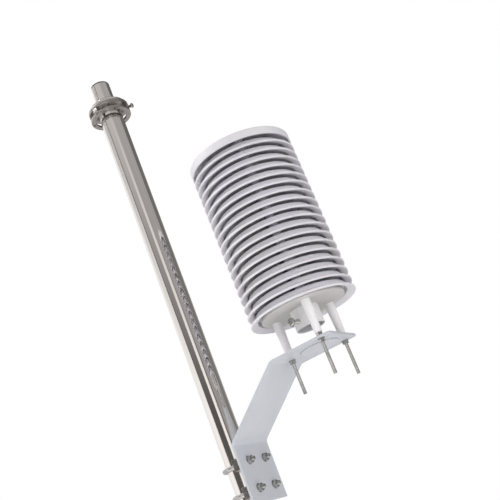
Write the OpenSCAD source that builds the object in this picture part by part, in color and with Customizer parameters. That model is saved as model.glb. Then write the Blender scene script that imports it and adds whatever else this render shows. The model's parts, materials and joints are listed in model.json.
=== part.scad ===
// Free-standing weather station: a three-legged stand with a telescopic mast, and a
// bent side bracket that carries a multi-plate radiation shield with its probe inside.
// The origin is on the ground under the middle of the footprint; +Z is up and the
// shield stands out from the mast towards -Y.

/* [Stand] */
// Height of the shield's base disc above the ground
shield_height = 800; // [700:10:1000]
// Radius of the circle on which the three feet stand
foot_radius = 450; // [400:5:520]
// Height of the leg pivots above the ground
pivot_height = 525; // [480:5:560]
// Distance of each leg pivot from the mast axis
pivot_radius = 46; // [44:0.5:60]
// Outside diameter of the upper leg tubes
upper_leg_od = 25; // [22:0.5:28]
// Outside diameter of the lower leg tubes
lower_leg_od = 20.9; // [17:0.1:21]
// Length of the upper leg tubes
upper_leg_len = 330; // [250:5:380]
// Length of lower leg tube held inside the upper tube when pushed in
leg_overlap = 140; // [80:5:180]
// Radius of the flat pad under each rubber foot
foot_pad_r = 21; // [18:0.5:30]

/* [Mast] */
// Outside diameter of the fixed lower mast tube
mast_od = 36; // [34:0.5:42]
// Outside diameter of the sliding upper mast tube
upper_mast_od = 32; // [28:0.5:32]
// Wall thickness of the upper mast tube
upper_mast_wall = 2; // [1.5:0.25:3]
// Height of the lock collar's ring above the base disc
collar_height = 421; // [380:1:480]
// Length of upper mast kept inside the lower one
mast_overlap = 296; // [200:2:320]
// Diameter of the turned spigot on the mast top
spigot_d = 30; // [26:0.5:30]
// Length of the turned spigot
spigot_len = 26; // [15:1:40]

/* [Lock collar] */
// Outside radius of the lock collar's dome
collar_r = 32; // [30:0.5:40]
// Height of the lock collar's dome
dome_h = 17; // [14:0.5:24]
// Clear height between the guy ring and the dome
cage_gap = 8; // [7:0.5:20]
// Thickness of the guy ring
ring_t = 4; // [3:0.5:8]
// Radial width of the guy ring
ring_w = 7; // [6.5:0.5:9]
// Diameter of the lock screw's shank
lock_screw_d = 5; // [4:0.5:6]

/* [Shield] */
// Radius of the louvre rims
rim_r = 75; // [68:0.5:90]
// Height from one louvre to the next
louvre_pitch = 13; // [12:0.25:16]
// Radial width of the flared flange round each louvre
flare_reach = 9; // [7:0.5:10]
// Height of the upright lip on the flange's edge
lip_h = 2.8; // [2:0.2:4]
// Height of the cap's upright side
cap_skirt_h = 12; // [9:0.5:16]
// Wall thickness of the louvres and the cap
louvre_t = 2; // [1.5:0.25:2.5]
// Radius of the hole through the louvres
chamber_r = 33; // [30:0.5:34]
// Radius of the circle of the three tie rods
rod_circle_r = 44; // [42:0.5:46]
// Diameter of the tie rods
rod_d = 5; // [4:0.5:6]
// Length of the tie rods below the base disc
rod_drop = 103; // [80:1:120]
// Radius of the spacer bosses between the louvres
boss_r = 6.5; // [5.5:0.25:8]
// Radial gap between the base disc and the wall of the lowest louvre
base_gap = 3; // [2:0.25:5]
// Thickness of the base disc
base_t = 4; // [3:0.5:6]
// Radius of the tapered posts at the top
post_top_r = 6.5; // [5:0.25:7]
// Radius of the tapered posts at the foot
post_foot_r = 5; // [4:0.25:6]

/* [Probe] */
// Outside diameter of the probe holder tube
holder_od = 40; // [36:0.5:44]
// Inside diameter of the probe holder tube
holder_id = 35; // [30:0.5:36]
// Length of the holder below the base disc
holder_drop = 27; // [20:1:32]
// Length of the probe's plug inside the holder
probe_plug_len = 33; // [26:1:40]
// Diameter of the probe's stem
probe_stem_d = 14; // [12:0.5:20]
// Height of the probe's tip above the base disc
probe_top = 150; // [110:5:200]
// Diameter of the holder's clamp screw
clamp_screw_d = 6; // [5:0.5:6]

/* [Bracket] */
// Distance from the mast axis to the shield axis
boom = 176; // [170:1:200]
// Thickness of the bracket's plate
plate_t = 3; // [2.5:0.25:4]
// Width of the bracket's plate
plate_w = 92; // [90:1:104]
// Depth of the plate's top below the base disc
plate_drop = 52; // [50:1:60]
// Reach of the plate past the shield axis
plate_tip = 38; // [32:1:45]
// Distance from the shield axis back to the bend
bend_back = 49.5; // [49.5:0.5:56]
// Slope of the bracket's arm below the horizontal
arm_slope = 38; // [30:1:45]
// Inside radius of the bracket's bends
bend_r = 9; // [6:1:24]
// Height of the bracket's clamping face on the mast
clamp_face_h = 76; // [70:1:90]
// Distance between the two U-bolts
u_bolt_pitch = 38; // [34:1:44]
// Diameter of the U-bolts
u_bolt_d = 6; // [5:0.5:8]
// Thickness of the saddle between mast and bracket
saddle_t = 8; // [7:0.5:12]
// Radius of the access hole in the plate
access_r = 25; // [22:0.5:26]

/* [Fits] */
// Radial clearance of a part that turns or slides
run_gap = 0.05; // [0.03:0.01:0.09]
// Radial clearance of a bolt in its hole
bolt_gap = 0.25; // [0.2:0.05:0.5]
// Gap between pieces of different moving groups
free_gap = 0.3; // [0.25:0.05:0.4]

/* [Hidden] */
$fn = 96;
eps = 0.01;

// Screws and nuts, by nominal diameter d
function nut_af(d) = 1.6 * d;
function nut_h(d) = 0.8 * d;
function washer_r(d) = d;
washer_t = 1;

// Mast
mast_y = foot_radius / 4;
mast_r = mast_od / 2;
upper_mast_r = upper_mast_od / 2;
mast_bore_r = upper_mast_r + run_gap;

// Lock collar, from the ring upwards
ring_z = shield_height + collar_height;
web_z = ring_z + ring_t;
dome_z = web_z + cage_gap;
dome_top = dome_z + dome_h;
dome_neck_r = mast_r + 1;
bush_h = 7;
mast_top = dome_top - bush_h - 1;
lock_screw_z = web_z + cage_gap / 2;
lock_screw_az = -68;
web_w = 8;
guy_hole_r = 2;
guy_hole_circle_r = collar_r - ring_w / 2;
collar_neck = 5;
spigot_z = dome_top + collar_neck;
upper_mast_z = mast_top - mast_overlap;
upper_mast_top = spigot_z + spigot_len;

// Tripod hub and legs
hub_r = 30;
hub_floor = 3;
hub_h = 66;
hub_z = pivot_height - 35;
ear_r = 12;
ear_t = 6;
tongue_t = 12;
pivot_d = 8;
leg_az = [270, 30, 150];
foot_end_h = 20;
leg_run = foot_radius - pivot_radius;
leg_fall = pivot_height - foot_end_h;
leg_len = sqrt(leg_run * leg_run + leg_fall * leg_fall);
leg_angle = atan(leg_run / leg_fall);
upper_leg_r = upper_leg_od / 2;
lower_leg_r = lower_leg_od / 2;
leg_bore_r = lower_leg_r + run_gap;
leg_tube_start = 20;
leg_plug = 12;
leg_tube_end = leg_tube_start + upper_leg_len;
lower_leg_start = leg_tube_end - leg_overlap;
lower_leg_wall = 2;
heel_s = 12;
heel_r = pivot_radius - heel_s * sin(leg_angle) - hub_r - free_gap;
clamp_len = 28;
clamp_wall = 4.5;
clamp_r = upper_leg_r + clamp_wall;
knob_d = 6;
knob_s = leg_tube_end + clamp_len / 4;
boss_out = clamp_r + 6;
knob_r = 12;
knob_t = 9;
foot_r = lower_leg_r + 3.5;
foot_len = 40;
foot_pad_t = 9;

// Shield
louvre_count = 18;
disc_z = shield_height;
rim_drop = 1.5;
rim_z = disc_z - rim_drop;
edge = 0.6;
flare_rise = 3.4;
wall_lean = 1.5;
neck_r = rim_r - flare_reach;
shoulder_r = neck_r - wall_lean;
seam = 0.4;
louvre_h = louvre_pitch - seam;
cap_rim_z = rim_z + louvre_count * louvre_pitch;
cap_crown = 8;
cap_t = louvre_t + 0.5;
cap_round = 2.5;
cap_boss_top = cap_rim_z + cap_skirt_h + 0.3 * cap_crown;
base_r = shoulder_r - louvre_t - base_gap;
rod_hole_r = rod_d / 2 + bolt_gap;
rod_az = [90, 210, 330];
rod_bottom = disc_z - rod_drop;
rod_top = cap_boss_top - 3;
shield_y = mast_y - boom;
plate_top_z = disc_z - plate_drop;
plate_bottom_z = plate_top_z - plate_t;
post_len = plate_drop - washer_t - nut_h(rod_d);

// Probe
holder_r = holder_od / 2;
holder_bore_r = holder_id / 2;
holder_bottom = disc_z - holder_drop;
holder_flange_r = 26;
holder_flange_t = 3;
holder_top = disc_z + base_t + holder_flange_t + 14;
plug_recess = 12;
plug_r = holder_bore_r - run_gap;
plug_bottom = holder_bottom + plug_recess;
stem_r = probe_stem_d / 2;
filter_r = stem_r + 2;
filter_len = 55;
filter_z = disc_z + probe_top - filter_len;
filter_floor = 1.5;
board_t = 1.6;
clamp_screw_az = 163;
clamp_screw_z = disc_z - 17;
clamp_screw_tip = plug_r + free_gap;
clamp_head_at = 33;
connector_r = 6;
connector_h = 7;

// Bracket: the side view of its strip, along Y towards the mast and Z up. Each bend
// turns about a centre below the strip, so the plate's top is on the outside.
clamp_face_y = boom - mast_r - saddle_t;
bend_out_r = bend_r + plate_t;
arm_len = (clamp_face_y - bend_back - bend_out_r) / cos(arm_slope);
bend_1 = [bend_back, -bend_out_r];
bend_2 = bend_1 + arm_len * [cos(arm_slope), -sin(arm_slope)];
function bend_arc(centre, r, from, to) = let(steps = 12)
    [for (i = [0:steps]) let(a = from + (to - from) * i / steps) centre + r * [sin(a), cos(a)]];
strip_side = concat(
    [[-plate_tip, 0]],
    bend_arc(bend_1, bend_out_r, 0, arm_slope), bend_arc(bend_2, bend_out_r, arm_slope, 90),
    [bend_2 + [bend_out_r, -clamp_face_h], bend_2 + [bend_r, -clamp_face_h]],
    bend_arc(bend_2, bend_r, 90, arm_slope), bend_arc(bend_1, bend_r, arm_slope, 0),
    [[-plate_tip, -plate_t]]
);
tip_corner = 5;
u_bolt_r = u_bolt_d / 2;
u_bolt_bend = mast_r + free_gap + u_bolt_r;
u_bolt_z = plate_top_z + bend_2[1] - clamp_face_h / 2;
saddle_half_w = u_bolt_bend + u_bolt_r + 5;
saddle_h = 16;
u_bolt_reach = mast_r + saddle_t + plate_t + washer_t + nut_h(u_bolt_d) + 4;
spot_hole = [33, -5];
spot_hole_r = 3;
plug_flange_t = 2;

// ---- Places ----
module at_mast() { translate([0, mast_y, 0]) children(); }
module at_shield() { translate([0, shield_y, 0]) children(); }
module at_rods() { for (a = rod_az) rotate([0, 0, a]) translate([rod_circle_r, 0, 0]) children(); }
// Leg frame: origin at the pivot, local -Z down the leg, local +X outwards and up
module at_leg(i) {
    at_mast() rotate([0, 0, leg_az[i]]) translate([pivot_radius, 0, pivot_height])
        rotate([0, -leg_angle, 0]) children();
}

// ---- Common shapes ----
module ring(r_out, r_in, h) {
    difference() {
        cylinder(r = r_out, h = h);
        translate([0, 0, -1]) cylinder(r = r_in, h = h + 2);
    }
}
module hex(af, h) { cylinder(r = af / sqrt(3), h = h, $fn = 6); }
module nut(d) {
    difference() {
        hex(nut_af(d), nut_h(d));
        translate([0, 0, -1]) cylinder(r = d / 2, h = nut_h(d) + 2);
    }
}
module washer(d) { ring(washer_r(d), d / 2 + bolt_gap, washer_t); }
module cross_recess(w, depth) {
    for (a = [0, 90]) rotate([0, 0, a]) translate([-w / 2, -w / 8, 0]) cube([w, w / 4, depth + 1]);
}
// Pan head with a cross recess, seat at z = 0, crown upwards
module pan_head(r, h) {
    difference() {
        intersection() {
            cylinder(r = r, h = h);
            translate([0, 0, h - 1.6 * r]) sphere(r = 1.6 * r);
        }
        translate([0, 0, h / 2]) cross_recess(r, h);
    }
}
// Lies along +X
module along_x() { rotate([0, 90, 0]) children(); }

// ---- Mast ----
module lower_mast() color("silver") at_mast() difference() {
    translate([0, 0, hub_z + hub_floor]) ring(mast_r, mast_bore_r, mast_top - hub_z - hub_floor);
    translate([0, 0, lock_screw_z]) rotate([0, 0, lock_screw_az]) along_x()
        cylinder(r = lock_screw_d / 2 + bolt_gap, h = 2 * mast_r);
}
module upper_mast() color("silver") at_mast() difference() {
    union() {
        translate([0, 0, upper_mast_z]) cylinder(r = upper_mast_r, h = spigot_z - upper_mast_z);
        translate([0, 0, spigot_z - eps]) cylinder(r = spigot_d / 2, h = spigot_len + eps);
    }
    translate([0, 0, upper_mast_z - 1])
        cylinder(r = min(upper_mast_r - upper_mast_wall, spigot_d / 2 - 1), h = upper_mast_top);
}
module mast_cap() {
    cap_r = spigot_d / 2 - 0.3;
    neck_r = min(upper_mast_r - upper_mast_wall, spigot_d / 2 - 1);
    crown_r = 2.5 * cap_r;
    color("dimgray") at_mast() translate([0, 0, upper_mast_top]) union() {
        translate([0, 0, -10]) cylinder(r = neck_r, h = 10 + eps);
        intersection() {
            cylinder(r = cap_r, h = 4);
            translate([0, 0, 4 - crown_r]) sphere(r = crown_r);
        }
    }
}
module lock_collar() color("lightgray") at_mast() difference() {
    // A part-sphere dome over a short straight rim
    translate([0, 0, dome_z]) intersection() {
        cylinder(r = collar_r, h = dome_h);
        translate([0, 0, 3]) sphere(r = collar_r);
        union() {
            cylinder(r = collar_r, h = 5);
            translate([0, 0, 5]) cylinder(r1 = collar_r, r2 = dome_neck_r, h = dome_h - 5);
            translate([0, 0, dome_h - 5 - collar_r * 0.8]) sphere(r = collar_r * 0.94);
        }
    }
    translate([0, 0, dome_z - 1]) cylinder(r = mast_r + run_gap, h = dome_h);
    translate([0, 0, dome_z + 1]) cylinder(r = upper_mast_r + free_gap, h = dome_h);
}
module slide_bush() color("black") at_mast()
    translate([0, 0, mast_top]) ring(mast_r, mast_bore_r, bush_h - eps);
module guy_ring() color("lightgray") at_mast() difference() {
    translate([0, 0, ring_z]) ring(collar_r, collar_r - ring_w, ring_t + cage_gap);
    // Three windows above the ring leave three webs
    difference() {
        translate([0, 0, web_z]) cylinder(r = collar_r + 1, h = cage_gap + 1);
        for (i = [0:2]) rotate([0, 0, lock_screw_az + 120 * i])
            translate([0, -web_w / 2, web_z - 1]) cube([collar_r + 2, web_w, cage_gap + 3]);
    }
    for (i = [0:2]) rotate([0, 0, lock_screw_az + 60 + 120 * i])
        translate([guy_hole_circle_r, 0, ring_z - 1]) cylinder(r = guy_hole_r, h = ring_t + 2);
    translate([0, 0, lock_screw_z]) rotate([0, 0, lock_screw_az]) along_x()
        cylinder(r = lock_screw_d / 2 + run_gap, h = collar_r + 1);
}
module collar_screw() color("gray") at_mast() translate([0, 0, lock_screw_z])
    rotate([0, 0, lock_screw_az]) along_x() union() {
        shank_start = upper_mast_r + free_gap;
        head_start = collar_r + 4;
        translate([0, 0, shank_start])
            cylinder(r = lock_screw_d / 2, h = head_start - shank_start + eps);
        translate([0, 0, head_start]) pan_head(lock_screw_d * 0.8, 4);
    }

// ---- Tripod ----
module tripod_hub() color("dimgray") at_mast() difference() {
    union() {
        translate([0, 0, hub_z]) cylinder(r = hub_r, h = hub_h);
        for (a = leg_az, side = [-1, 1]) rotate([0, 0, a])
            translate([0, side * (tongue_t / 2 + free_gap + ear_t / 2), pivot_height]) union() {
                translate([hub_r - 6, -ear_t / 2, -ear_r])
                    cube([pivot_radius - hub_r + 6, ear_t, 2 * ear_r]);
                translate([pivot_radius, ear_t / 2, 0]) rotate([90, 0, 0])
                    cylinder(r = ear_r, h = ear_t);
            }
    }
    translate([0, 0, hub_z + hub_floor]) cylinder(r = mast_r + run_gap, h = hub_h);
    for (a = leg_az) rotate([0, 0, a]) {
        ear_span = tongue_t + 2 * free_gap + 2 * ear_t;
        translate([pivot_radius, ear_span / 2 + 1, pivot_height]) rotate([90, 0, 0])
            cylinder(r = pivot_d / 2 + run_gap, h = ear_span + 2);
        rotate([0, 0, 60]) translate([0, 0, hub_z + hub_h - 11]) along_x()
            cylinder(r = 3, h = hub_r + 1);
    }
}
module hub_screws() color("silver") at_mast()
    for (a = leg_az) rotate([0, 0, a + 60]) translate([0, 0, hub_z + hub_h - 11]) along_x() {
        translate([0, 0, mast_r]) cylinder(r = 3, h = hub_r - mast_r + eps);
        translate([0, 0, hub_r]) difference() {
            cylinder(r = 5, h = 6);
            translate([0, 0, 2.5]) hex(5, 5);
        }
    }
module leg_pivot_bolts() color("silver") at_mast() for (a = leg_az) rotate([0, 0, a]) {
    half = tongue_t / 2 + free_gap + ear_t;
    translate([pivot_radius, half, pivot_height]) rotate([90, 0, 0])
        cylinder(r = pivot_d / 2, h = 2 * half + nut_h(pivot_d) + 3);
    translate([pivot_radius, half, pivot_height]) rotate([-90, 0, 0])
        hex(nut_af(pivot_d), 5);
}
module leg_pivot_nuts() color("silver") at_mast() for (a = leg_az) rotate([0, 0, a])
    translate([pivot_radius, -tongue_t / 2 - free_gap - ear_t, pivot_height])
        rotate([90, 0, 0]) nut(pivot_d);

module upper_leg(i) color("silver") at_leg(i) difference() {
    union() {
        for (s = [[heel_s, heel_r], [0, ear_r - 1]]) translate([0, tongue_t / 2, s[0]])
            rotate([90, 0, 0]) cylinder(r = s[1], h = tongue_t);
        translate([-ear_r + 3, -tongue_t / 2, -leg_tube_start - 5])
            cube([2 * ear_r - 6, tongue_t, leg_tube_start + 5]);
        translate([-heel_r + 1, -tongue_t / 2, 0]) cube([2 * heel_r - 2, tongue_t, heel_s]);
        translate([0, 0, -leg_tube_end]) cylinder(r = upper_leg_r, h = upper_leg_len);
    }
    translate([0, 0, -leg_tube_end - 1])
        cylinder(r = leg_bore_r, h = upper_leg_len - leg_plug + 1);
    translate([0, tongue_t, 0]) rotate([90, 0, 0])
        cylinder(r = pivot_d / 2 + run_gap, h = 2 * tongue_t);
}
module lower_leg(i) color("silver") at_leg(i) difference() {
    translate([0, 0, -leg_len]) cylinder(r = lower_leg_r, h = leg_len - lower_leg_start);
    translate([0, 0, -leg_len + 12])
        cylinder(r = lower_leg_r - lower_leg_wall, h = leg_len - lower_leg_start);
}
module leg_clamp(i) color("dimgray") at_leg(i) difference() {
    union() {
        translate([0, 0, -leg_tube_end - clamp_len / 2]) cylinder(r = clamp_r, h = clamp_len);
        translate([0, 0, -knob_s]) along_x() cylinder(r = knob_d / 2 + 3.5, h = boss_out);
    }
    translate([0, 0, -leg_tube_end - clamp_len]) cylinder(r = leg_bore_r + run_gap, h = 2 * clamp_len);
    translate([0, 0, -leg_tube_end]) cylinder(r = upper_leg_r, h = clamp_len);
    translate([0, 0, -knob_s]) along_x() cylinder(r = knob_d / 2 + run_gap, h = boss_out + 1);
}
module clamp_knob(i) color("black") at_leg(i) translate([0, 0, -knob_s]) along_x() union() {
    shank_start = lower_leg_r + free_gap;
    translate([0, 0, shank_start]) cylinder(r = knob_d / 2, h = boss_out - shank_start + 2);
    translate([0, 0, boss_out + free_gap]) cylinder(r = knob_r - 2.5, h = knob_t);
    for (a = [0:60:300]) rotate([0, 0, a]) translate([knob_r - 3, 0, boss_out + free_gap])
        cylinder(r = 3, h = knob_t);
}
module foot(i) color("black") difference() {
    union() {
        at_leg(i) translate([0, 0, -leg_len]) cylinder(r = foot_r, h = foot_len);
        at_leg(i) translate([0, 0, -leg_len]) sphere(r = foot_r);
        at_mast() rotate([0, 0, leg_az[i]]) translate([foot_radius, 0, 0]) {
            cylinder(r = foot_pad_r, h = foot_pad_t - 3);
            translate([0, 0, foot_pad_t - 3]) cylinder(r1 = foot_pad_r, r2 = foot_pad_r - 3, h = 3);
        }
    }
    at_leg(i) translate([0, 0, -leg_len]) cylinder(r = lower_leg_r, h = foot_len + 1);
}

// ---- Bracket ----
// A bent strip in the bracket's own frame: X across, Y towards the mast, Z up, with the
// shield axis at Y = 0 and the plate's top at Z = 0
module bracket() color("gainsboro") at_shield() translate([0, 0, plate_top_z]) difference() {
    rotate([90, 0, 90]) translate([0, 0, -plate_w / 2]) linear_extrude(plate_w) polygon(strip_side);
    for (x = [0, 1]) mirror([x, 0, 0])
        translate([plate_w / 2 - tip_corner, -plate_tip + tip_corner, -plate_t])
            outer_corner(tip_corner, plate_t);
    at_rods() translate([0, 0, -plate_t - 1]) cylinder(r = rod_hole_r, h = plate_t + 2);
    translate([0, 0, -plate_t - 1]) cylinder(r = access_r, h = plate_t + 2);
    translate([spot_hole[0], spot_hole[1], -plate_t - 1]) cylinder(r = spot_hole_r, h = plate_t + 2);
    for (x = [-1, 1], z = [-1, 1])
        translate([x * u_bolt_bend, clamp_face_y - 2 * plate_t,
                   u_bolt_z - plate_top_z + z * u_bolt_pitch / 2])
            rotate([-90, 0, 0]) cylinder(r = u_bolt_r + bolt_gap, h = 3 * plate_t);
}
// What a rounding of radius r takes off a plate's corner at +X, -Y
module outer_corner(r, t) {
    difference() {
        translate([0, -r - 1, -1]) cube([r + 1, r + 1, t + 2]);
        translate([0, 0, -2]) cylinder(r = r, h = t + 4);
    }
}
module access_plug() color("gainsboro") at_shield() difference() {
    union() {
        translate([0, 0, plate_bottom_z - plug_flange_t]) cylinder(r = access_r + 2, h = plug_flange_t);
        translate([0, 0, plate_bottom_z - eps]) cylinder(r = access_r - bolt_gap, h = plate_t + 1.5);
    }
    // Dished underside
    dish_r = 150;
    translate([0, 0, plate_bottom_z - plug_flange_t - dish_r + 1.4]) sphere(r = dish_r, $fn = 180);
}
module u_bolts() color("silver") at_mast() for (z = [-1, 1])
    translate([0, 0, u_bolt_z + z * u_bolt_pitch / 2]) {
        rotate_extrude(angle = 180) translate([u_bolt_bend, 0]) circle(r = u_bolt_r);
        for (x = [-1, 1]) translate([x * u_bolt_bend, eps, 0]) rotate([90, 0, 0])
            cylinder(r = u_bolt_r, h = u_bolt_reach);
    }
module u_bolt_saddles() color("darkgray") at_mast() for (z = [-1, 1])
    translate([0, 0, u_bolt_z + z * u_bolt_pitch / 2]) difference() {
        translate([-saddle_half_w, -mast_r - saddle_t, -saddle_h / 2])
            cube([2 * saddle_half_w, mast_r + saddle_t - 8, saddle_h]);
        translate([0, 0, -saddle_h]) cylinder(r = mast_r + run_gap, h = 2 * saddle_h);
        for (x = [-1, 1]) translate([x * u_bolt_bend, 0, 0]) rotate([90, 0, 0])
            cylinder(r = u_bolt_r + bolt_gap, h = 2 * mast_r);
    }
module u_bolt_nuts() color("silver") at_mast() for (x = [-1, 1], z = [-1, 1])
    translate([x * u_bolt_bend, -mast_r - saddle_t - plate_t, u_bolt_z + z * u_bolt_pitch / 2])
        rotate([90, 0, 0]) {
            washer(u_bolt_d);
            translate([0, 0, washer_t]) nut(u_bolt_d);
        }

// ---- Shield ----
module louvre(k) {
    z = rim_z + (louvre_count - k) * louvre_pitch;
    boss_foot = k == louvre_count ? rim_drop + base_t : -seam;
    color("gainsboro") at_shield() translate([0, 0, z]) difference() {
        union() {
            rotate_extrude() polygon([
                [rim_r - edge, 0], [rim_r, edge], [rim_r, lip_h], [neck_r, lip_h + flare_rise],
                [shoulder_r, louvre_h], [chamber_r, louvre_h], [chamber_r, louvre_h - louvre_t],
                [shoulder_r - louvre_t, louvre_h - louvre_t],
                [neck_r - louvre_t, lip_h + flare_rise - louvre_t],
                [rim_r - 2.5 * edge, 0]
            ]);
            at_rods() translate([0, 0, boss_foot]) cylinder(r = boss_r, h = louvre_h - boss_foot);
        }
        at_rods() translate([0, 0, -louvre_pitch]) cylinder(r = rod_hole_r, h = 3 * louvre_pitch);
    }
}
module shield_cap() color("gainsboro") at_shield() difference() {
    union() {
        translate([0, 0, cap_rim_z]) rotate_extrude() polygon([
            [rim_r - cap_t, 0], [rim_r - edge, 0], [rim_r, edge], [rim_r, cap_skirt_h - cap_round],
            [rim_r - 0.3 * cap_round, cap_skirt_h - 0.3 * cap_round], [rim_r - cap_round, cap_skirt_h],
            [rim_r / 2, cap_skirt_h + 0.7 * cap_crown],
            [0, cap_skirt_h + cap_crown], [0, cap_skirt_h + cap_crown - cap_t],
            [rim_r / 2, cap_skirt_h + 0.7 * cap_crown - cap_t], [rim_r - cap_t, cap_skirt_h - cap_t]
        ]);
        at_rods() translate([0, 0, cap_rim_z - seam])
            cylinder(r = boss_r, h = cap_boss_top - cap_rim_z + seam);
    }
    at_rods() translate([0, 0, rim_z]) cylinder(r = rod_hole_r, h = rod_top + eps - rim_z);
}
module base_disc() color("tan") at_shield() difference() {
    translate([0, 0, disc_z]) ring(base_r, holder_r, base_t);
    at_rods() translate([0, 0, disc_z - 1]) cylinder(r = rod_hole_r, h = base_t + 2);
}
module tapered_posts() color("white") at_shield() at_rods() difference() {
    translate([0, 0, disc_z - post_len]) cylinder(r1 = post_foot_r, r2 = post_top_r, h = post_len);
    translate([0, 0, disc_z - post_len - 1]) cylinder(r = rod_hole_r, h = post_len + 2);
}
module tie_rods() color("silver") at_shield() at_rods()
    translate([0, 0, rod_bottom]) cylinder(r = rod_d / 2, h = rod_top - rod_bottom);
module tie_rod_nuts() color("silver") at_shield() at_rods() {
    translate([0, 0, plate_top_z]) washer(rod_d);
    translate([0, 0, plate_top_z + washer_t]) nut(rod_d);
    translate([0, 0, plate_bottom_z - washer_t]) washer(rod_d);
    translate([0, 0, plate_bottom_z - washer_t - nut_h(rod_d)]) nut(rod_d);
}

// ---- Probe ----
module probe_holder() color("white") at_shield() difference() {
    union() {
        translate([0, 0, holder_bottom]) cylinder(r = holder_r, h = holder_top - holder_bottom);
        translate([0, 0, disc_z + base_t]) cylinder(r = holder_flange_r, h = holder_flange_t);
    }
    translate([0, 0, holder_bottom - 1]) cylinder(r = holder_bore_r, h = holder_top - holder_bottom + 2);
    translate([0, 0, clamp_screw_z]) rotate([0, 0, clamp_screw_az]) along_x()
        cylinder(r = clamp_screw_d / 2 + run_gap, h = 2 * holder_r);
}
module holder_screw() color("silver") at_shield() translate([0, 0, clamp_screw_z])
    rotate([0, 0, clamp_screw_az]) along_x() union() {
        translate([0, 0, clamp_screw_tip])
            cylinder(r = clamp_screw_d / 2, h = clamp_head_at - clamp_screw_tip + eps);
        translate([0, 0, clamp_head_at]) pan_head(clamp_screw_d, clamp_screw_d * 0.7);
    }
module probe_body() color("dimgray") at_shield() union() {
    translate([0, 0, plug_bottom]) cylinder(r = plug_r, h = probe_plug_len);
    translate([0, 0, plug_bottom - connector_h]) ring(connector_r, connector_r - 1.5, connector_h + eps);
    translate([0, 0, plug_bottom + probe_plug_len - eps])
        cylinder(r = stem_r, h = filter_z - plug_bottom - probe_plug_len);
}
module probe_filter() color("lightgray") at_shield() difference() {
    translate([0, 0, filter_z]) union() {
        cylinder(r = filter_r, h = filter_len - filter_r);
        translate([0, 0, filter_len - filter_r]) sphere(r = filter_r);
    }
    translate([0, 0, filter_z + filter_floor]) cylinder(r = filter_r - 2, h = filter_len - filter_r);
}
module probe_board() color("green") at_shield()
    translate([-filter_r / 2, -board_t / 2, filter_z + filter_floor]) cube([filter_r, board_t, 34]);

lower_mast();
upper_mast();
mast_cap();
lock_collar();
slide_bush();
guy_ring();
collar_screw();
tripod_hub();
hub_screws();
leg_pivot_bolts();
leg_pivot_nuts();
upper_leg(0);  // upper_leg_1
upper_leg(1);  // upper_leg_2
upper_leg(2);  // upper_leg_3
lower_leg(0);  // lower_leg_1
lower_leg(1);  // lower_leg_2
lower_leg(2);  // lower_leg_3
leg_clamp(0);  // leg_clamp_1
leg_clamp(1);  // leg_clamp_2
leg_clamp(2);  // leg_clamp_3
clamp_knob(0);  // clamp_knob_1
clamp_knob(1);  // clamp_knob_2
clamp_knob(2);  // clamp_knob_3
foot(0);  // foot_1
foot(1);  // foot_2
foot(2);  // foot_3
bracket();
access_plug();
u_bolts();
u_bolt_saddles();
u_bolt_nuts();
shield_cap();
louvre(1);  // louvre_01
louvre(2);  // louvre_02
louvre(3);  // louvre_03
louvre(4);  // louvre_04
louvre(5);  // louvre_05
louvre(6);  // louvre_06
louvre(7);  // louvre_07
louvre(8);  // louvre_08
louvre(9);  // louvre_09
louvre(10);  // louvre_10
louvre(11);  // louvre_11
louvre(12);  // louvre_12
louvre(13);  // louvre_13
louvre(14);  // louvre_14
louvre(15);  // louvre_15
louvre(16);  // louvre_16
louvre(17);  // louvre_17
louvre(18);  // louvre_18
base_disc();
tapered_posts();
tie_rods();
tie_rod_nuts();
probe_holder();
holder_screw();
probe_body();
probe_filter();
probe_board();
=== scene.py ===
"""Looks of the tripod weather station: finishes, detailed pieces, studio and camera.

Everything is in metres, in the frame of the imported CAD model.
"""

import json
import math

import bmesh
import bpy
from mathutils import Matrix, Vector

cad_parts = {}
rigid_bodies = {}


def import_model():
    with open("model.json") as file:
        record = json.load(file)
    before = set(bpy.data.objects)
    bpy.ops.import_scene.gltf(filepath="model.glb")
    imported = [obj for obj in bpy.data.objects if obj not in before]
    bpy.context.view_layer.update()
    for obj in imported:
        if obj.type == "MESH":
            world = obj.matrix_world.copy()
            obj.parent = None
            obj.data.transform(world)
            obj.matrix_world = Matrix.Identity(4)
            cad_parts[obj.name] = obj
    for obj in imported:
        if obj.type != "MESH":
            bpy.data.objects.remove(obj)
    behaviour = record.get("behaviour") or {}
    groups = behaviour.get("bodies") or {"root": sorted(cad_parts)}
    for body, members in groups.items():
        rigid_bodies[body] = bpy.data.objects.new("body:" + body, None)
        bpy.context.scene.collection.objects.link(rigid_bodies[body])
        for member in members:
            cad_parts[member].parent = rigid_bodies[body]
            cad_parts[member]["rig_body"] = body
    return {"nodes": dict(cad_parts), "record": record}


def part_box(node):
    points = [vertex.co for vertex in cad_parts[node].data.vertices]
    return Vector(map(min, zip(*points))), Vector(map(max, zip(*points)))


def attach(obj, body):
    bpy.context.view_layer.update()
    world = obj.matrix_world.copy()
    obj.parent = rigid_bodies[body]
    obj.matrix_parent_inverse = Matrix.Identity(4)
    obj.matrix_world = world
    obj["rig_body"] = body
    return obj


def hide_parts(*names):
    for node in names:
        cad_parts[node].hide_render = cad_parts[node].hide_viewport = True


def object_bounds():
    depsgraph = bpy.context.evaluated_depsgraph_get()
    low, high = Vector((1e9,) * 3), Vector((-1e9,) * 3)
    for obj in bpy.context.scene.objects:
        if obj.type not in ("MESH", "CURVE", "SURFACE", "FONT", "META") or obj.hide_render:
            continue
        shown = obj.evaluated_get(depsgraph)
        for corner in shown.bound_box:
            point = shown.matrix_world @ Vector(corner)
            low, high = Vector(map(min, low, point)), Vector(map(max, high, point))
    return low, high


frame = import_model()
cad_low, cad_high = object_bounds()
nodes = frame["nodes"]
slots = {part["node"]: part["material_slot"] for part in frame["record"]["subparts"]}

MM = 0.001
TURN = 2 * math.pi


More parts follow.
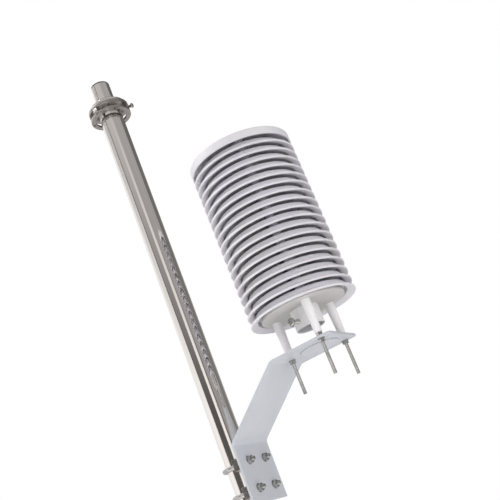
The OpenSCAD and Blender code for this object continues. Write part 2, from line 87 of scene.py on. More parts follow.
# ---- Places, read from the frame ----
def centre(node):
    low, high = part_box(node)
    return (low + high) / 2


def bottom(node):
    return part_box(node)[0].z


def top(node):
    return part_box(node)[1].z


def outer_radius(node):
    low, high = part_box(node)
    return (high.x - low.x) / 2


MAST = centre("lower_mast")
SHIELD = centre("louvre_18")
LOUVRES = [f"louvre_{k:02d}" for k in range(1, 19)]
LEGS = (1, 2, 3)
ROD_R = 2.5 * MM
ROD_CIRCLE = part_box("tie_rods")[1].y - SHIELD.y - ROD_R
ROD_ANGLES = (90, 210, 330)
RIM_R = outer_radius("louvre_18")
DISC_Z = bottom("base_disc")
RIM_Z = bottom("louvre_18")
PITCH = bottom("louvre_16") - bottom("louvre_17")
SEAM = 0.4 * MM
BOSS_R = 6.5 * MM
ROD_HOLE_R = 2.75 * MM
PLUG_RIM = 1.5 * MM
PLATE_TOP = top("access_plug") - PLUG_RIM
PLATE_BOTTOM = PLATE_TOP - 3 * MM
FOOT_CIRCLE_R = 450 * MM
FINE = 144  # segments round the widest turned shapes


def at_shield(z=0.0):
    return Matrix.Translation((SHIELD.x, SHIELD.y, z))


def at_mast(z=0.0):
    return Matrix.Translation((MAST.x, MAST.y, z))


def turned_to(azimuth):
    return Matrix.Rotation(math.radians(azimuth), 4, "Z")


def at_rods(z=0.0):
    for angle in ROD_ANGLES:
        yield at_shield(z) @ turned_to(angle) @ Matrix.Translation((ROD_CIRCLE, 0, 0))


# Turns a shape made along +Z so that it lies along +X
ALONG_X = Matrix.Rotation(math.pi / 2, 4, "Y")


# ---- Shapes, as bmeshes ----
def rounded(outline, closed=True, steps=4):
    """The outline with its corners rounded. A corner is (r, z) or (r, z, radius)."""
    found, count = [], len(outline)
    for i, corner in enumerate(outline):
        here = Vector(corner[:2])
        radius = corner[2] if len(corner) > 2 else 0
        if not radius or (not closed and i in (0, count - 1)):
            found.append(here)
            continue
        back = Vector(outline[i - 1][:2]) - here
        ahead = Vector(outline[(i + 1) % count][:2]) - here
        half = back.angle(ahead) / 2
        reach = min(radius / math.tan(half), 0.48 * back.length, 0.48 * ahead.length)
        start, end = here + back.normalized() * reach, here + ahead.normalized() * reach
        for k in range(steps + 1):
            t = k / steps
            found.append(start.lerp(here, t).lerp(here.lerp(end, t), t))
    return found


def lathe(outline, segments=96, closed=True, steps=4):
    """A closed (r, z) outline turned about Z. A corner's third number rounds it."""
    points = rounded(outline, closed, steps)
    shape = bmesh.new()
    rings = []
    for k in range(segments):
        a = TURN * k / segments
        rings.append([shape.verts.new((p.x * math.cos(a), p.x * math.sin(a), p.y)) for p in points])
    last = len(points) if closed else len(points) - 1
    for k in range(segments):
        here, ahead = rings[k], rings[(k + 1) % segments]
        for i in range(last):
            j = (i + 1) % len(points)
            shape.faces.new((here[i], ahead[i], ahead[j], here[j]))
    bmesh.ops.remove_doubles(shape, verts=shape.verts, dist=1e-7)
    bmesh.ops.dissolve_degenerate(shape, edges=shape.edges, dist=1e-7)
    bmesh.ops.recalc_face_normals(shape, faces=shape.faces)
    return shape


def cylinder(radius, z0, z1, segments=48):
    chamfer = 0.3 * MM
    return lathe([(0, z0), (radius, z0, chamfer), (radius, z1, chamfer), (0, z1)], segments, steps=2)


def tube(r_out, r_in, z0, z1, chamfer=0.4 * MM, segments=96):
    return lathe([(r_in, z0, chamfer), (r_out, z0, chamfer), (r_out, z1, chamfer), (r_in, z1, chamfer)],
                 segments, steps=2)


def thread(radius, pitch, z0, z1, depth=None):
    """A solid rod with a helical thread, its ends chamfered."""
    depth = depth or 0.6 * pitch
    segments, rows_per_turn = 24, 6
    rows = max(4, round((z1 - z0) / pitch * rows_per_turn))
    shape = bmesh.new()
    rings = []
    for row in range(rows + 1):
        z = z0 + (z1 - z0) * row / rows
        to_end = min(z - z0, z1 - z)
        ring = []
        for k in range(segments):
            phase = ((z - z0) / pitch - k / segments) % 1
            crest = min(1, max(0, 2.4 * abs(phase - 0.5) - 0.1))
            r = min(radius - depth * (1 - crest), radius - depth + to_end)
            a = TURN * k / segments
            ring.append(shape.verts.new((r * math.cos(a), r * math.sin(a), z)))
        rings.append(ring)
    for here, ahead in zip(rings, rings[1:]):
        for k in range(segments):
            j = (k + 1) % segments
            shape.faces.new((here[k], here[j], ahead[j], ahead[k]))
    shape.faces.new(list(reversed(rings[0])))
    shape.faces.new(rings[-1])
    return shape


def hex_prism(across_flats, bore, z0, z1):
    """A hexagon nut with its corners turned off at both ends and a countersunk bore."""
    corner, flat = across_flats / math.sqrt(3), across_flats / 2
    drop = (corner - flat) * math.tan(math.radians(30))
    shape = bmesh.new()
    sides = 72
    rings = []
    sink_depth = 0.12 * bore
    sink = bore + sink_depth
    for k in range(sides):
        a = TURN * k / sides
        reach = flat / math.cos((a + math.pi / 6) % (math.pi / 3) - math.pi / 6)
        fall = drop * (reach - flat) / (corner - flat)
        profile = [(bore, z0 + sink_depth), (sink, z0), (flat * 0.97, z0), (reach, z0 + fall),
                   (reach, z1 - fall), (flat * 0.97, z1), (sink, z1), (bore, z1 - sink_depth)]
        rings.append([shape.verts.new((r * math.cos(a), r * math.sin(a), z)) for r, z in profile])
    for k in range(sides):
        here, ahead = rings[k], rings[(k + 1) % sides]
        for i in range(len(here)):
            j = (i + 1) % len(here)
            shape.faces.new((here[i], ahead[i], ahead[j], here[j]))
    bmesh.ops.recalc_face_normals(shape, faces=shape.faces)
    return shape


def box(low, high):
    shape = bmesh.new()
    bmesh.ops.create_cube(shape, size=1)
    size = Vector(high) - Vector(low)
    middle = (Vector(high) + Vector(low)) / 2
    shape.transform(Matrix.Translation(middle) @ Matrix.Diagonal((*size, 1)))
    return shape


def moved(shape, matrix):
    shape.transform(matrix)
    return shape


def merged(shapes):
    """All the shapes in one bmesh."""
    mesh = bpy.data.meshes.new("merge")
    whole = bmesh.new()
    for shape in shapes:
        shape.to_mesh(mesh)
        shape.free()
        whole.from_mesh(mesh)
    bpy.data.meshes.remove(mesh)
    return whole


def added(name, shape):
    """A new object in the scene that has the shape as its mesh."""
    mesh = bpy.data.meshes.new(name)
    shape.to_mesh(mesh)
    shape.free()
    made = bpy.data.objects.new(name, mesh)
    bpy.context.scene.collection.objects.link(made)
    return made


def cut(shape, tool):
    """shape with tool cut from it, as a solid."""
    objects = [added("work", shape), added("work", tool)]
    change = objects[0].modifiers.new("change", "BOOLEAN")
    change.operation, change.object, change.solver = "DIFFERENCE", objects[1], "EXACT"
    made = objects[0].evaluated_get(bpy.context.evaluated_depsgraph_get())
    result = bmesh.new()
    result.from_mesh(made.to_mesh())
    made.to_mesh_clear()
    for o in objects:
        mesh = o.data
        bpy.data.objects.remove(o)
        bpy.data.meshes.remove(mesh)
    return result


def shaded(shape, limit=32):
    """Smooth shading, with the edges that turn by more than limit degrees kept sharp."""
    for face in shape.faces:
        face.smooth = True
    for edge in shape.edges:
        if len(edge.link_faces) == 2:
            edge.smooth = edge.calc_face_angle(0) < math.radians(limit)
    return shape


def piece(name, shape, node, limit=32):
    """Makes the shape a piece that stands for a CAD node, on its body and in its slot's finish."""
    made = added(name, shaded(shape, limit))
    made.data.materials.append(FINISHES[slots[node]])
    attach(made, nodes[node]["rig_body"])
    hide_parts(node)


# ---- Finishes ----
def map_range(tree, value, low, high, to_low, to_high):
    """The socket value, mapped from low..high to to_low..to_high."""
    made = tree.nodes.new("ShaderNodeMapRange")
    tree.links.new(value, made.inputs[0])
    for index, number in enumerate((low, high, to_low, to_high), 1):
        made.inputs[index].default_value = number
    return made.outputs["Result"]


class Nodes:
    """A material's node tree, with short calls to make and join nodes."""

    def __init__(self, name):
        self.material = bpy.data.materials.new(name)
        self.material.use_nodes = True
        self.tree = self.material.node_tree
        self.shader = self.tree.nodes["Principled BSDF"]
        self.place = self.make("ShaderNodeTexCoord").outputs["Object"]

    def make(self, kind, **inputs):
        made = self.tree.nodes.new(kind)
        for key, value in inputs.items():
            self.set(made, key, value)
        return made

    def set(self, node, key, value):
        socket = node.inputs[key.replace("_", " ")] if isinstance(key, str) else node.inputs[key]
        if isinstance(value, bpy.types.NodeSocket):
            self.tree.links.new(value, socket)
        else:
            socket.default_value = value

    def stretched(self, scale):
        mapping = self.make("ShaderNodeMapping", Vector=self.place)
        mapping.inputs["Scale"].default_value = scale
        return mapping.outputs["Vector"]

    def noise(self, scale, detail=3.0, place=None, distortion=0.0):
        made = self.make("ShaderNodeTexNoise", Vector=place or self.place, Scale=scale,
                         Detail=detail, Roughness=0.55, Distortion=distortion)
        return made.outputs["Fac"]

    def fitted(self, value, low, high, to_low, to_high):
        return map_range(self.tree, value, low, high, to_low, to_high)

    def mixed(self, factor, first, second):
        made = self.tree.nodes.new("ShaderNodeMix")
        made.data_type = "RGBA"
        self.set(made, 0, factor)
        self.set(made, 6, first)
        self.set(made, 7, second)
        return made.outputs[2]

    def times(self, first, second):
        made = self.tree.nodes.new("ShaderNodeMath")
        made.operation = "MULTIPLY"
        made.use_clamp = True
        self.set(made, 0, first)
        self.set(made, 1, second)
        return made.outputs[0]

    def bump(self, height, strength, distance, normal=None):
        made = self.make("ShaderNodeBump", Height=height, Strength=strength, Distance=distance)
        if normal is not None:
            self.set(made, "Normal", normal)
        return made.outputs["Normal"]

    def edges(self, radius):
        """About 1 along worn convex and concave edges, and 0 on open faces."""
        bevel = self.make("ShaderNodeBevel", Radius=radius)
        bevel.samples = 4
        flat = self.make("ShaderNodeNewGeometry").outputs["Normal"]
        dot = self.tree.nodes.new("ShaderNodeVectorMath")
        dot.operation = "DOT_PRODUCT"
        self.set(dot, 0, bevel.outputs["Normal"])
        self.set(dot, 1, flat)
        return self.fitted(dot.outputs["Value"], 1 - 1 / 6, 0.995, 1.0, 0.0)

    def facing_up(self):
        split = self.make("ShaderNodeSeparateXYZ",
                          Vector=self.make("ShaderNodeNewGeometry").outputs["Normal"])
        return self.fitted(split.outputs["Z"], 0.25, 0.95, 0.0, 1.0)

    def out(self, colour, roughness, normal=None, **constants):
        self.set(self.shader, "Base Color", colour)
        self.set(self.shader, "Roughness", roughness)
        if normal is not None:
            self.set(self.shader, "Normal", normal)
        for key, value in constants.items():
            self.set(self.shader, key, value)
        return self.material


def shade(colour, factor):
    return (*(min(1.0, c * factor) for c in colour), 1.0)


def moulded_plastic(name, colour, roughness, dust, grain=900, grain_depth=0.02 * MM):
    """Injection-moulded plastic: faint mottling, fine texture, dust on what faces up."""
    n = Nodes(name)
    mottle = n.fitted(n.noise(28, 4), 0.3, 0.7, 0.0, 1.0)
    base = n.mixed(mottle, shade(colour, 0.965), shade(colour, 1.03))
    streaks = n.fitted(n.noise(60, 3, place=n.stretched((1, 1, 0.12))), 0.55, 0.8, 0.0, 0.35)
    base = n.mixed(streaks, base, shade(colour, 0.93))
    settled = n.times(n.times(n.facing_up(), dust), n.fitted(n.noise(45, 5), 0.3, 0.75, 0.2, 1.0))
    base = n.mixed(settled, base, (0.52, 0.49, 0.44, 1))
    worn = n.fitted(n.noise(130, 3), 0.3, 0.7, roughness - 0.06, roughness + 0.07)
    rough = n.mixed(settled, worn, (0.8, 0.8, 0.8, 1))
    peel = n.bump(n.noise(grain, 2), 0.35, grain_depth)
    return n.out(base, rough, peel, Specular_IOR_Level=0.45)


def louvre_white():
    """Satin white plastic that has greyed a little, darker where water has run."""
    n = Nodes("louvre_white")
    colour = (0.765, 0.742, 0.785)
    mottle = n.fitted(n.noise(22, 4), 0.3, 0.7, 0.0, 1.0)
    base = n.mixed(mottle, shade(colour, 0.97), shade(colour, 1.035))
    warm = n.fitted(n.noise(9, 2), 0.45, 0.75, 0.0, 0.4)
    base = n.mixed(warm, base, (0.76, 0.75, 0.745, 1))
    runs = n.fitted(n.noise(70, 4, place=n.stretched((1, 1, 0.08))), 0.56, 0.8, 0.0, 0.3)
    base = n.mixed(runs, base, (0.66, 0.635, 0.66, 1))
    dust = n.times(n.facing_up(), n.fitted(n.noise(50, 5), 0.35, 0.7, 0.05, 0.3))
    base = n.mixed(dust, base, (0.50, 0.48, 0.46, 1))
    rough = n.fitted(n.noise(150, 3), 0.3, 0.7, 0.3, 0.42)
    peel = n.bump(n.noise(700, 2), 0.3, 0.02 * MM)
    return n.out(base, rough, peel, Specular_IOR_Level=0.5)


def polished_tube():
    """Mirror-polished stainless tube: drawing lines along it, light smears and fine scratches."""
    n = Nodes("mirror_steel")
    colour = (0.80, 0.775, 0.755)
    lines = n.noise(420, 2, place=n.stretched((1, 1, 0.004)))
    clouds = n.noise(13, 5, distortion=0.6, place=n.stretched((1, 1, 0.35)))
    smears = n.fitted(clouds, 0.45, 0.7, 0.0, 1.0)
    base = n.mixed(n.fitted(lines, 0.35, 0.65, 0.0, 1.0), shade(colour, 0.93), shade(colour, 1.04))
    base = n.mixed(n.times(smears, 0.35), base, (0.72, 0.68, 0.65, 1))
    fine = n.fitted(n.noise(300, 3), 0.3, 0.7, 0.055, 0.1)
    rough = n.mixed(n.times(smears, 0.8), fine, (0.17, 0.17, 0.17, 1))
    ripples = n.bump(n.noise(16, 2, place=n.stretched((1, 1, 0.12))), 0.12, 0.25 * MM)
    return n.out(base, rough, n.bump(lines, 0.05, 0.01 * MM, ripples), Metallic=1.0)


def brushed_metal(name, colour, roughness, scale=(1, 1, 0.01), lines=600, edge_radius=0.0,
                  stain=0.3, stain_colour=(0.36, 0.33, 0.30)):
    """Satin metal with brushing lines, cloudy stains and brighter worn edges."""
    n = Nodes(name)
    brush = n.noise(lines, 3, place=n.stretched(scale))
    base = n.mixed(n.fitted(brush, 0.3, 0.7, 0.0, 1.0), shade(colour, 0.88), shade(colour, 1.08))
    clouds = n.fitted(n.noise(70, 5), 0.45, 0.75, 0.0, stain)
    base = n.mixed(clouds, base, shade(stain_colour, 1))
    if edge_radius:
        base = n.mixed(n.times(n.edges(edge_radius), 0.6), base, shade(colour, 1.35))
    rough = n.fitted(n.noise(240, 3), 0.3, 0.7, roughness - 0.06, roughness + 0.1)
    return n.out(base, rough, n.bump(brush, 0.25, 0.015 * MM), Metallic=1.0)


def powder_coat(name, colour, roughness, peel_depth=0.05 * MM, wear=0.0, variation=0.04):
    """Powder coat: orange peel, slight cloudiness, rubbed edges where it wears."""
    n = Nodes(name)
    clouds = n.fitted(n.noise(14, 4), 0.3, 0.7, 0.0, 1.0)
    base = n.mixed(clouds, shade(colour, 1 - variation), shade(colour, 1 + variation))
    specks = n.fitted(n.noise(900, 2), 0.68, 0.8, 0.0, 0.35)
    base = n.mixed(specks, base, shade(colour, 0.7))
    if wear:
        rubbed = n.times(n.edges(0.9 * MM), n.fitted(n.noise(120, 4), 0.45, 0.7, 0.0, wear))
        base = n.mixed(rubbed, base, (0.42, 0.42, 0.43, 1))
    rough = n.fitted(n.noise(90, 3), 0.3, 0.7, roughness - 0.05, roughness + 0.06)
    peel = n.bump(n.noise(520, 2), 0.4, peel_depth)
    return n.out(base, rough, peel, Specular_IOR_Level=0.5)


def rubber():
    n = Nodes("rubber_black")
    dust = n.times(n.fitted(n.noise(60, 5), 0.35, 0.75, 0.1, 0.6), 0.5)
    base = n.mixed(dust, (0.022, 0.022, 0.023, 1), (0.12, 0.11, 0.095, 1))
    rough = n.fitted(n.noise(200, 3), 0.3, 0.7, 0.7, 0.88)
    return n.out(base, rough, n.bump(n.noise(650, 3), 0.5, 0.06 * MM), Specular_IOR_Level=0.3)


def sintered_metal():
    n = Nodes("filter_steel")
    grains = n.make("ShaderNodeTexVoronoi", Vector=n.place, Scale=2600.0).outputs["Distance"]
    base = n.mixed(n.fitted(grains, 0.0, 0.7, 0.0, 1.0), (0.58, 0.55, 0.5, 1), (0.2, 0.19, 0.17, 1))
    rough = n.fitted(grains, 0.0, 0.7, 0.38, 0.7)
    return n.out(base, rough, n.bump(grains, 0.8, 0.15 * MM), Metallic=1.0)


def circuit_board():
    n = Nodes("board_green")
    tracks = n.make("ShaderNodeTexBrick", Vector=n.place, Scale=420.0).outputs["Fac"]
    base = n.mixed(n.times(tracks, 0.6), (0.03, 0.2, 0.07, 1), (0.1, 0.36, 0.14, 1))
    return n.out(base, n.fitted(n.noise(300), 0.3, 0.7, 0.25, 0.4), n.bump(tracks, 0.3, 0.03 * MM))


FINISHES = {
    "mirror_steel": polished_tube(),
    "cast_steel": brushed_metal("cast_steel", (0.40, 0.375, 0.355), 0.3, scale=(1, 1, 1), lines=500,
                                edge_radius=0.5 * MM, stain=0.45),
    "zinc_fastener": brushed_metal("zinc_fastener", (0.50, 0.495, 0.48), 0.2, scale=(1, 1, 0.6),
                                   lines=900, stain=0.45, stain_colour=(0.20, 0.195, 0.18)),
    "louvre_white": louvre_white(),
    "base_beige": moulded_plastic("base_beige", (0.60, 0.572, 0.56), 0.5, dust=0.1),
    "post_white": moulded_plastic("post_white", (0.90, 0.88, 0.89), 0.42, dust=0.1),
    "bracket_paint": powder_coat("bracket_paint", (0.56, 0.577, 0.62), 0.36),
    "leg_alloy": brushed_metal("leg_alloy", (0.62, 0.625, 0.635), 0.33, scale=(1, 1, 0.02),
                               lines=500, stain=0.15),
    "hub_black": powder_coat("hub_black", (0.035, 0.035, 0.038), 0.45, peel_depth=0.12 * MM, wear=0.8,
                             variation=0.15),
    "knob_black": moulded_plastic("knob_black", (0.03, 0.03, 0.032), 0.46, dust=0.25, grain=1400,
                                  grain_depth=0.05 * MM),
    "rubber_black": rubber(),
    "probe_grey": moulded_plastic("probe_grey", (0.07, 0.07, 0.075), 0.4, dust=0.05),
    "filter_steel": sintered_metal(),
    "board_green": circuit_board(),
}


def finish_node(node, bevel=0.0):
    """Gives a CAD node that stays its finish, with its sharp edges broken."""
    made = nodes[node]
    made.data.materials.clear()
    made.data.materials.append(FINISHES[slots[node]])
    if bevel:
        weld = made.modifiers.new("weld", "WELD")
        weld.merge_threshold = 0.002 * MM
        edge = made.modifiers.new("broken_edges", "BEVEL")
        edge.width, edge.segments = bevel, 2
        edge.limit_method, edge.angle_limit = "ANGLE", math.radians(35)
        edge.harden_normals = False


# ---- Shield ----
def rod_bosses(z0, z1):
    """Spacer bosses round the three rods, between the heights z0 and z1."""
    return [moved(tube(BOSS_R, ROD_HOLE_R, z0, z1, 0.3 * MM, 32), place) for place in at_rods()]


def louvre(index, name):
    """A moulded plate: upright lip, flared flange, nearly upright wall and flat top."""
    below = len(LOUVRES) - 1 - index
    z = RIM_Z + below * PITCH
    lip, flare, wall, bore = 2.8 * MM, 6.2 * MM, 2 * MM, 33 * MM
    height = PITCH - SEAM
    neck, shoulder = RIM_R - 9 * MM, RIM_R - 10.5 * MM
    outline = [
        (RIM_R - 1.5 * MM, 0, 0.4 * MM), (RIM_R, 0, 0.8 * MM), (RIM_R, lip, 0.9 * MM),
        (neck, flare, 1.5 * MM), (shoulder, height, 0.8 * MM), (bore, height, 0.5 * MM),
        (bore, height - wall, 0.5 * MM), (shoulder - wall, height - wall, 1.2 * MM),
        (neck - wall, flare - wall - 0.4 * MM, 2.0 * MM),
    ]
    foot = -SEAM if below else top("base_disc") - RIM_Z
    plate = moved(lathe(outline, FINE), at_shield(z))
    bosses = rod_bosses(z + foot, z + height - 0.2 * MM)
    piece(name + "_plate", merged([plate, *bosses]), name)


def shield():
    for index, name in enumerate(LOUVRES):
        louvre(index, name)
    wall, skirt = 2.5 * MM, 12 * MM
    rim = RIM_Z + len(LOUVRES) * PITCH
    crown = top("shield_cap") - rim
    halfway = skirt + 0.7 * (crown - skirt)
    outline = [
        (RIM_R - wall, 0, 0.5 * MM), (RIM_R, 0, 0.8 * MM), (RIM_R, skirt - 0.3 * MM, 2.6 * MM),
        (RIM_R - 6 * MM, skirt + 0.9 * MM, 3 * MM), (RIM_R / 2, halfway, 30 * MM),
        (0, crown), (0, crown - wall), (RIM_R / 2, halfway - wall, 30 * MM),
        (RIM_R - wall, skirt - wall, 1.5 * MM),
    ]
    cap = moved(lathe(outline, FINE, steps=6), at_shield(rim))
    bosses = rod_bosses(rim - SEAM, rim + skirt + 2.4 * MM)
    piece("shield_cap_shell", merged([cap, *bosses]), "shield_cap")


def base_and_posts():
    radius, thick, bore = outer_radius("base_disc"), top("base_disc") - DISC_Z, 20 * MM
    disc = lathe([(bore, 0, 0.4 * MM), (radius, 0, 0.8 * MM), (radius, thick, 0.8 * MM),
                  (bore, thick, 0.4 * MM)], FINE)
    piece("base_disc_plate", moved(disc, at_shield(DISC_Z)), "base_disc")
    foot, head = bottom("tapered_posts"), top("tapered_posts")
    outline = [(ROD_HOLE_R, foot - head, 0.3 * MM), (5 * MM, foot - head, 0.6 * MM),
               (BOSS_R, -7 * MM, 30 * MM), (BOSS_R, 0), (ROD_HOLE_R, 0)]
    posts = [moved(lathe(outline, 48), place) for place in at_rods(head)]
    piece("tapered_posts_moulding", merged(posts), "tapered_posts")


def rods_and_nuts():
    z0, z1 = bottom("tie_rods"), top("tie_rods")
    threaded_to = PLATE_TOP + 12 * MM
    rods = []
    for place in at_rods():
        rods.append(moved(thread(ROD_R, 0.8 * MM, z0, threaded_to, depth=0.3 * MM), place))
        rods.append(moved(cylinder(ROD_R * 0.92, threaded_to - 1 * MM, z1, segments=24), place))
    piece("tie_rods_threaded", merged(rods), "tie_rods", limit=60)
    nuts = []
    for place in at_rods():
        for washer, nut in ((PLATE_TOP, PLATE_TOP + 1 * MM),
                            (PLATE_BOTTOM - 1 * MM, PLATE_BOTTOM - 5 * MM)):
            nuts.append(moved(tube(5 * MM, ROD_HOLE_R, washer, washer + 1 * MM, 0.2 * MM, 48), place))
            nuts.append(moved(hex_prism(8 * MM, ROD_R, nut, nut + 4 * MM), place @ turned_to(10)))
    piece("tie_rod_nuts_and_washers", merged(nuts), "tie_rod_nuts")


def pan_head(radius, height):
    """A domed screw head with a cross recess, its seat at z = 0."""
    dome = lathe([(0, 0), (radius, 0, 0.25 * radius), (radius, 0.55 * height, 0.5 * radius),
                  (0.55 * radius, height, 0.5 * radius), (0, height)], 48, steps=6)
    for angle in (0, 90):
        slot_w, slot_l = 0.24 * radius, 1.15 * radius
        cutter = box((-slot_l / 2, -slot_w / 2, 0.4 * height), (slot_l / 2, slot_w / 2, 2 * height))
        dome = cut(dome, moved(cutter, turned_to(angle)))
    return dome


def screw(head_r, head_h, shank_r, pitch, seat, tip):
    """A pan-head screw along +Z: its thread from tip to seat, and its head above seat."""
    shank = thread(shank_r, pitch, tip, seat + 0.2 * MM)
    return merged([shank, moved(pan_head(head_r, head_h), Matrix.Translation((0, 0, seat)))])


def probe_holder():
    low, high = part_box("probe_holder")
    r_out, r_in, flange_r = 20 * MM, 17.5 * MM, 26 * MM
    flange_z = top("base_disc")
    flange_top = flange_z + 3 * MM
    outline = [(r_in, low.z, 0.5 * MM), (r_out, low.z, 0.7 * MM), (r_out, flange_z, 0.6 * MM),
               (flange_r, flange_z, 0.5 * MM), (flange_r, flange_top, 0.5 * MM),
               (r_out, flange_top, 1 * MM), (r_out, high.z, 0.5 * MM), (r_in, high.z, 0.5 * MM)]
    piece("probe_holder_tube", moved(lathe(outline), at_shield()), "probe_holder")


HOLDER_SCREW_AZIMUTH = 163
COLLAR_SCREW_AZIMUTH = -68


def screws():
    holder = screw(6 * MM, 4.2 * MM, 3 * MM, 1 * MM, 33 * MM, 17.75 * MM)
    place = at_shield(centre("holder_screw").z) @ turned_to(HOLDER_SCREW_AZIMUTH) @ ALONG_X
    piece("holder_screw_pan_head", moved(holder, place), "holder_screw")
    collar = screw(4 * MM, 4 * MM, 2.5 * MM, 0.8 * MM, 36 * MM, 16.3 * MM)
    place = at_mast(centre("collar_screw").z) @ turned_to(COLLAR_SCREW_AZIMUTH) @ ALONG_X
    piece("collar_screw_pan_head", moved(collar, place), "collar_screw")


def access_plug():
    radius, low, high = outer_radius("access_plug"), bottom("access_plug"), top("access_plug")
    flange, spigot_r, dish = PLATE_BOTTOM, 24.7 * MM, 1.2 * MM
    floor_z = flange + 0.6 * MM
    outline = [(0, low + dish), (radius * 0.82, low + 0.5 * MM, 20 * MM),
               (radius - 1.5 * MM, low, 0.8 * MM), (radius, low + 0.4 * MM, 0.5 * MM),
               (radius, flange, 0.4 * MM), (spigot_r, flange, 0.2 * MM), (spigot_r, high, 0.8 * MM),
               (22 * MM, high, 0.6 * MM), (21.5 * MM, floor_z, 0.6 * MM), (0, floor_z)]
    piece("access_plug_cover", moved(lathe(outline), at_shield()), "access_plug")


# ---- Mast ----
def mast_fittings():
    low = bottom("lock_collar")
    span = top("lock_collar") - low
    radius, bore, neck_bore = outer_radius("lock_collar"), 18.05 * MM, 16.35 * MM
    outline = [
        (bore, 0, 0.4 * MM), (radius, 0, 0.8 * MM), (radius, 0.28 * span, 4 * MM),
        (radius * 0.86, 0.62 * span, 8 * MM), (20 * MM, span - 0.4 * MM, 3 * MM),
        (neck_bore, span, 0.6 * MM), (neck_bore, span - 2 * MM), (bore, span - 4 * MM, 1 * MM),
    ]
    piece("lock_collar_dome", moved(lathe(outline, steps=8), at_mast(low)), "lock_collar")
    cap_r, cap_h = 14.7 * MM, 4 * MM
    cap = lathe([(0, 0), (cap_r, 0, 0.4 * MM), (cap_r, 2.6 * MM, 1.6 * MM),
                 (0.5 * cap_r, 3.7 * MM, 8 * MM), (0, cap_h)], 64)
    plug = cylinder(13.9 * MM, -10 * MM, 0.2 * MM)
    moulding = moved(merged([cap, plug]), at_mast(top("mast_cap") - cap_h))
    piece("mast_cap_moulding", moulding, "mast_cap")


def half_ring(bend, wire):
    """Round wire bent through half a turn about Z, on the +Y side."""
    arcs, sides = 32, 24
    shape = bmesh.new()
    rings = []
    up = Vector((0, 0, 1))
    for k in range(arcs + 1):
        a = math.pi * k / arcs
        middle = Vector((bend * math.cos(a), bend * math.sin(a), 0))
        out = middle.normalized()
        rings.append([shape.verts.new(middle + wire * (math.cos(b) * out + math.sin(b) * up))
                      for b in (TURN * s / sides for s in range(sides))])
    for here, ahead in zip(rings, rings[1:]):
        for s in range(sides):
            j = (s + 1) % sides
            shape.faces.new((here[s], here[j], ahead[j], ahead[s]))
    shape.faces.new(rings[0])
    shape.faces.new(list(reversed(rings[-1])))
    bmesh.ops.recalc_face_normals(shape, faces=shape.faces)
    return shape


def clamp_hardware():
    """The two U-bolts with threaded ends, and their nuts and washers."""
    low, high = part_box("u_bolts")
    wire = 3 * MM
    bend = high.x - wire
    heights = (low.z + wire, high.z - wire)
    tip = MAST.y - low.y
    plate_face = MAST.y - 29 * MM
    towards_plate = Matrix.Rotation(math.pi / 2, 4, "X")
    shapes = []
    for z in heights:
        shapes.append(moved(half_ring(bend, wire), at_mast(z)))
        for side in (-1, 1):
            straight = Matrix.Translation((side * bend, MAST.y, z)) @ towards_plate
            shapes.append(moved(cylinder(wire * 0.97, -0.2 * MM, 22 * MM, segments=24), straight))
            shapes.append(moved(thread(wire, 1 * MM, 21 * MM, tip), straight))
    piece("u_bolts_bent", merged(shapes), "u_bolts", limit=60)
    nuts = []
    for z in heights:
        for side in (-1, 1):
            place = Matrix.Translation((side * bend, plate_face, z)) @ towards_plate
            nuts.append(moved(tube(6 * MM, 3.25 * MM, 0, 1 * MM, 0.2 * MM, 48), place))
            nuts.append(moved(hex_prism(9.6 * MM, wire, 1 * MM, 5.8 * MM), place @ turned_to(12 * side)))
    piece("u_bolt_nuts_and_washers", merged(nuts), "u_bolt_nuts")


# ---- Tripod ----
def leg_frame(leg):
    """The turn that lays -Z down the leg, and the level direction outwards over it."""
    direction = (centre(f"lower_leg_{leg}") - centre(f"upper_leg_{leg}")).normalized()
    out = Vector((direction.x, direction.y, 0)).normalized()
    z = -direction
    y = Vector((0, 0, 1)).cross(out)
    x = y.cross(z)
    return Matrix((x, y, z)).transposed().to_4x4(), out


def feet_and_knobs():
    for leg in LEGS:
        turn, out = leg_frame(leg)
        middle = MAST.xy.to_3d() + FOOT_CIRCLE_R * out
        pad_r, rib_r, groove_r = 21 * MM, 13.9 * MM, 12.9 * MM
        socket_r, socket_z = 10.5 * MM, 39.5 * MM
        pad = lathe([(0, 1 * MM), (pad_r - 5 * MM, 1 * MM), (pad_r - 5 * MM, 0, 0.4 * MM),
                     (pad_r, 0, 1 * MM), (pad_r, 5.5 * MM, 1.5 * MM), (pad_r - 4 * MM, 9 * MM, 2 * MM),
                     (0, 9 * MM)], 64)
        ribs = [(0, -13.5 * MM), (9 * MM, -11 * MM, 4 * MM), (rib_r, -2 * MM, 4 * MM)]
        for k in range(4):
            z = (3 + 8 * k) * MM
            ribs += [(rib_r, z, 0.5 * MM), (groove_r, z + 0.8 * MM, 0.4 * MM),
                     (groove_r, z + 2.2 * MM, 0.4 * MM), (rib_r, z + 3 * MM, 0.5 * MM)]
        ribs += [(rib_r, socket_z, 1 * MM), (socket_r, socket_z, 0.4 * MM), (socket_r, 1 * MM),
                 (0, 1 * MM)]
        ferrule_place = Matrix.Translation(middle + Vector((0, 0, 20 * MM))) @ turn
        shapes = [moved(pad, Matrix.Translation(middle)), moved(lathe(ribs, 48), ferrule_place)]
        piece(f"foot_{leg}_rubber", merged(shapes), f"foot_{leg}")
        knob(leg, turn)


